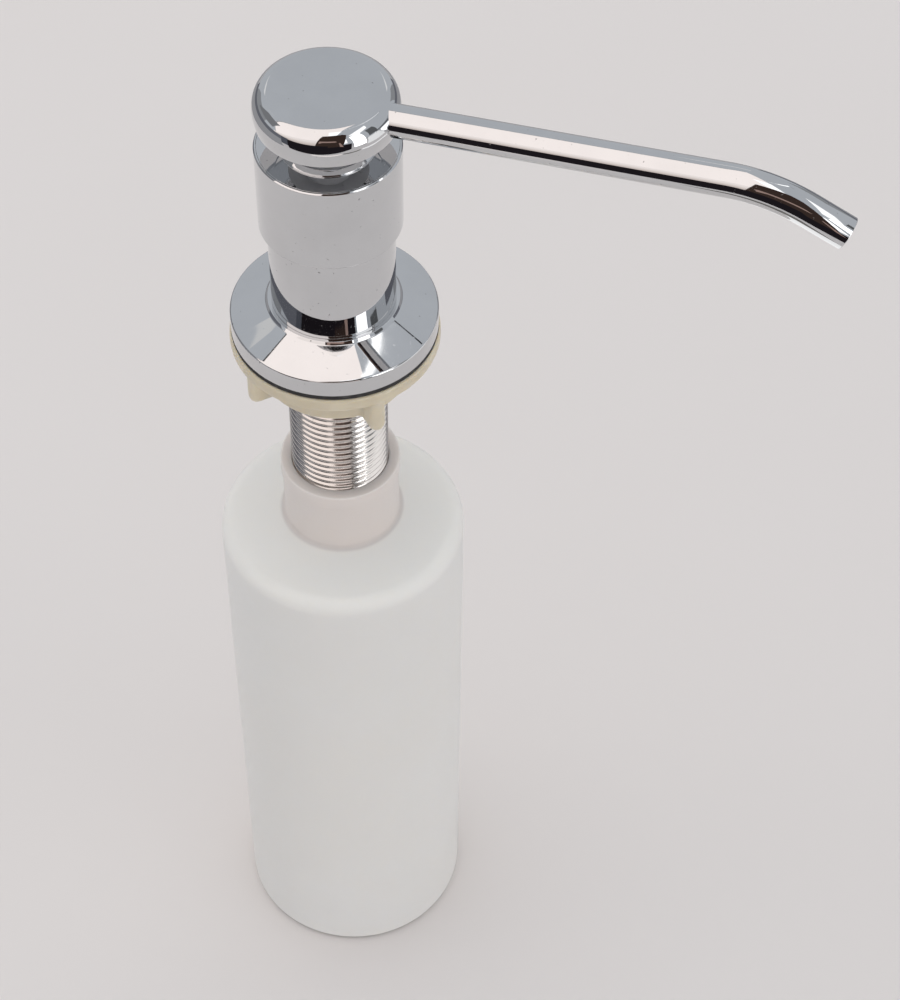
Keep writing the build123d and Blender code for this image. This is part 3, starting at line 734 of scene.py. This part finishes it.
def threaded_shank(material):
    """Brass tube with its real helical thread: rolled, with rounded crests and roots."""
    pitch = 2.0 * MM
    major = high("threaded_shank").y
    depth = 0.7 * MM
    root_sharpness = 0.85
    bore = 10.4 * MM
    low_z = low("threaded_shank").z
    high_z = 257.0 * MM
    phase = math.radians(CAMERA_AZIMUTH_DEG)
    steps = 120
    rows = 12
    turns = int((high_z - low_z) / pitch) + 3
    mesh = bmesh.new()
    line = []
    for step in range(turns * steps + 1):
        angle = 2 * math.pi * step / steps + phase
        row = []
        for index in range(rows):
            part = index / rows
            dip = 0.5 - 0.5 * math.cos(2 * math.pi * part)
            radius = major - depth * dip ** root_sharpness
            z = low_z - 1.5 * pitch + pitch * (step / steps + part)
            row.append(mesh.verts.new((radius * math.cos(angle), radius * math.sin(angle), z)))
        line.append(row)
    for step in range(turns * steps):
        here, after = line[step], line[step + 1]
        for index in range(rows - 1):
            mesh.faces.new((here[index], after[index], after[index + 1], here[index + 1]))
        if step + steps < turns * steps:
            above, above_after = line[step + steps], line[step + steps + 1]
            mesh.faces.new((here[-1], after[-1], above_after[0], above[0]))
    for height, side in ((low_z, -1), (high_z, 1)):
        bmesh.ops.bisect_plane(
            mesh, geom=mesh.verts[:] + mesh.edges[:] + mesh.faces[:], dist=1e-7,
            plane_co=(0, 0, height), plane_no=(0, 0, side), clear_outer=True,
        )
    middle = (low_z + high_z) / 2
    bore_rings = []
    for height in (low_z, high_z):
        rim = [
            edge for edge in mesh.edges
            if edge.is_boundary
            and (edge.verts[0].co.z > middle) == (height > middle)
            and edge.verts[0].co.xy.length > (bore + major) / 2
        ]
        ring = []
        for step in range(steps):
            angle = 2 * math.pi * step / steps
            ring.append(mesh.verts.new((bore * math.cos(angle), bore * math.sin(angle), height)))
        edges = [mesh.edges.new((ring[step], ring[(step + 1) % steps])) for step in range(steps)]
        bmesh.ops.bridge_loops(mesh, edges=rim + edges)
        bore_rings.append(ring)
    join_loops(mesh, bore_rings)
    data = as_data(mesh, "shank")
    return finished("threaded_shank_visual", data, "deck_unit", "threaded_shank", material, CRISP_DEG)


def bottle(material):
    """Blown bottle: rounded base, soft shoulder and a plain neck with a thicker rim, all hollow."""
    outer_r = 33.1
    inner_r = 31.8
    neck_r = 15.5
    rim_r = 15.95
    bore_r = 12.95
    top = 198.0
    floor_z = 1.4
    corners = in_metres([
        (0, 0, 0), (outer_r, 0, 2.0), (outer_r, 173.2, 4.6), (22.0, 175.8, 12.0), (neck_r, 177.4, 1.2),
        (neck_r, 193.4, 0.3), (rim_r, 193.9, 0.3), (rim_r, top, 0.4), (bore_r, top, 0.2),
        (bore_r, 176.4, 1.0), (22.0, 174.2, 12.0), (inner_r, 171.9, 4.0), (inner_r, floor_z, 2.0),
        (0, floor_z, 0),
    ])
    data = lathe(softened(corners, BOTTLE_ARC_STEPS), BOTTLE_STEPS)
    return finished("bottle_visual", data, "bottle", "bottle", material)


def add_wing(mesh, turn, bottom, top):
    """One wing of the nut: a lug, round at its outer end and underneath."""
    half_width = 2.15
    inner_r = 16.9
    outer_r = 24.6
    rounding = 1.9
    rounding_steps = 6
    rings = [(top, 0.0), (bottom + rounding, 0.0)]
    for step in range(1, rounding_steps + 1):
        angle = math.radians(80 * step / rounding_steps)
        rings.append((bottom + rounding * (1 - math.sin(angle)), rounding * (1 - math.cos(angle))))
    loops = []
    for z, inset in rings:
        half = half_width - inset
        near, far = inner_r + inset, outer_r - inset
        corner = 0.9 * half
        plan = softened([(near, -half, 0), (far, -half, corner), (far, half, corner), (near, half, 0)])
        loops.append([mesh.verts.new(turn @ Vector((x * MM, y * MM, z * MM))) for x, y in plan])
    join_loops(mesh, loops)
    mesh.faces.new(loops[0])
    mesh.faces.new(loops[-1])


def wing_nut(material):
    """Moulded nut; its islands are merged and softened like a real moulding."""
    bore_r = 12.95
    hub_r = 19.5
    disc_r = 26.5
    hub_bottom = 232.8
    disc_bottom = 243.4
    top = 247.5
    wing_turn = 47.0
    outline = softened(in_metres([
        (bore_r, hub_bottom, 0.3), (hub_r, hub_bottom, 0.5), (hub_r, disc_bottom, 0.5),
        (disc_r, disc_bottom, 0.7), (disc_r, top, 0.6), (bore_r, top, 0.3),
    ]))
    hub = lathe(outline)
    mesh = bmesh.new()
    mesh.from_mesh(hub)
    bpy.data.meshes.remove(hub)
    for index in range(4):
        turn = Matrix.Rotation(math.radians(wing_turn + index * 90), 4, "Z")
        add_wing(mesh, turn, 230.7, 244.5)
    piece = finished("wing_nut_visual", as_data(mesh, "nut"), "nut", "wing_nut", material)
    remesh = piece.modifiers.new("moulded", "REMESH")
    remesh.mode = "VOXEL"
    remesh.voxel_size = 0.35 * MM
    remesh.use_smooth_shade = True
    smooth = piece.modifiers.new("softened", "SMOOTH")
    smooth.factor = 0.5
    smooth.iterations = 36
    return piece


def return_spring(material):
    """Round wire spring, carried with the pump unit."""
    bottom = low("return_spring").z
    height = high("return_spring").z - bottom
    wire_r = 0.45 * MM
    coil_r = high("return_spring").y - wire_r
    climb = height - 2 * wire_r
    turns = 8
    steps = 48 * turns
    wire_steps = 12
    mesh = bmesh.new()
    loops = []
    for step in range(steps + 1):
        turn = 2 * math.pi * turns * step / steps
        out = Vector((math.cos(turn), math.sin(turn), 0))
        middle = out * coil_r + Vector((0, 0, bottom + wire_r + climb * step / steps))
        loop = []
        for index in range(wire_steps):
            around = 2 * math.pi * index / wire_steps
            reach = out * math.cos(around) + Vector((0, 0, math.sin(around)))
            loop.append(mesh.verts.new(middle + reach * wire_r))
        loops.append(loop)
    join_loops(mesh, loops)
    mesh.faces.new(loops[0])
    mesh.faces.new(loops[-1])
    piece = finished("return_spring_visual", as_data(mesh, "spring"), "pump_unit", "return_spring", material)
    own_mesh(piece)
    return piece


def dress_cad_nodes():
    """Materials for the CAD nodes that show as they are."""
    white = plastic_material("white_moulding", (0.86, 0.86, 0.84), (0.80, 0.80, 0.77), 0.3, 0.002)
    clear = plastic_material("natural_moulding", (0.80, 0.80, 0.77), (0.74, 0.74, 0.70), 0.3, 0.004)
    steel = steel_material("ground_steel", 0.12)
    rubber = rubber_material("seal_rubber")
    dark = plastic_material("grey_moulding", (0.46, 0.47, 0.49), (0.40, 0.41, 0.43), 0.3)
    looks = {
        dark: ("head_core",),
        white: ("stem_guide", "ball_cage", "pump_stem", "piston"),
        clear: ("pump_cylinder", "dip_tube"),
        steel: ("inlet_ball", "outlet_ball"),
        rubber: ("collar_o_ring", "stem_wiper", "piston_seal"),
    }
    for material, names in looks.items():
        for name in names:
            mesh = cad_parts[name].data
            mesh.materials.clear()
            mesh.materials.append(material)


add_camera()
add_studio()
dress_cad_nodes()
head_cap(chrome_material("chrome_cap"))
spout_tube(chrome_material("chrome_tube"))
body_housing(chrome_material("chrome_housing"))
flange(chrome_material("chrome_cover"))
pump_collar(chrome_material("chrome_ring"))
threaded_shank(chrome_material("plated_thread_metal", (0.66, 0.63, 0.61), 0.3, 0.13))
flange_gasket(rubber_material("gasket_rubber"))
wing_nut(plastic_material("ivory_moulding", (0.64, 0.585, 0.46), (0.58, 0.52, 0.40), 0.4, 0.0015))
return_spring(steel_material("spring_wire", 0.25))
bottle(bottle_material("milky_bottle"))
bpy.context.scene.view_settings.view_transform = "Standard"
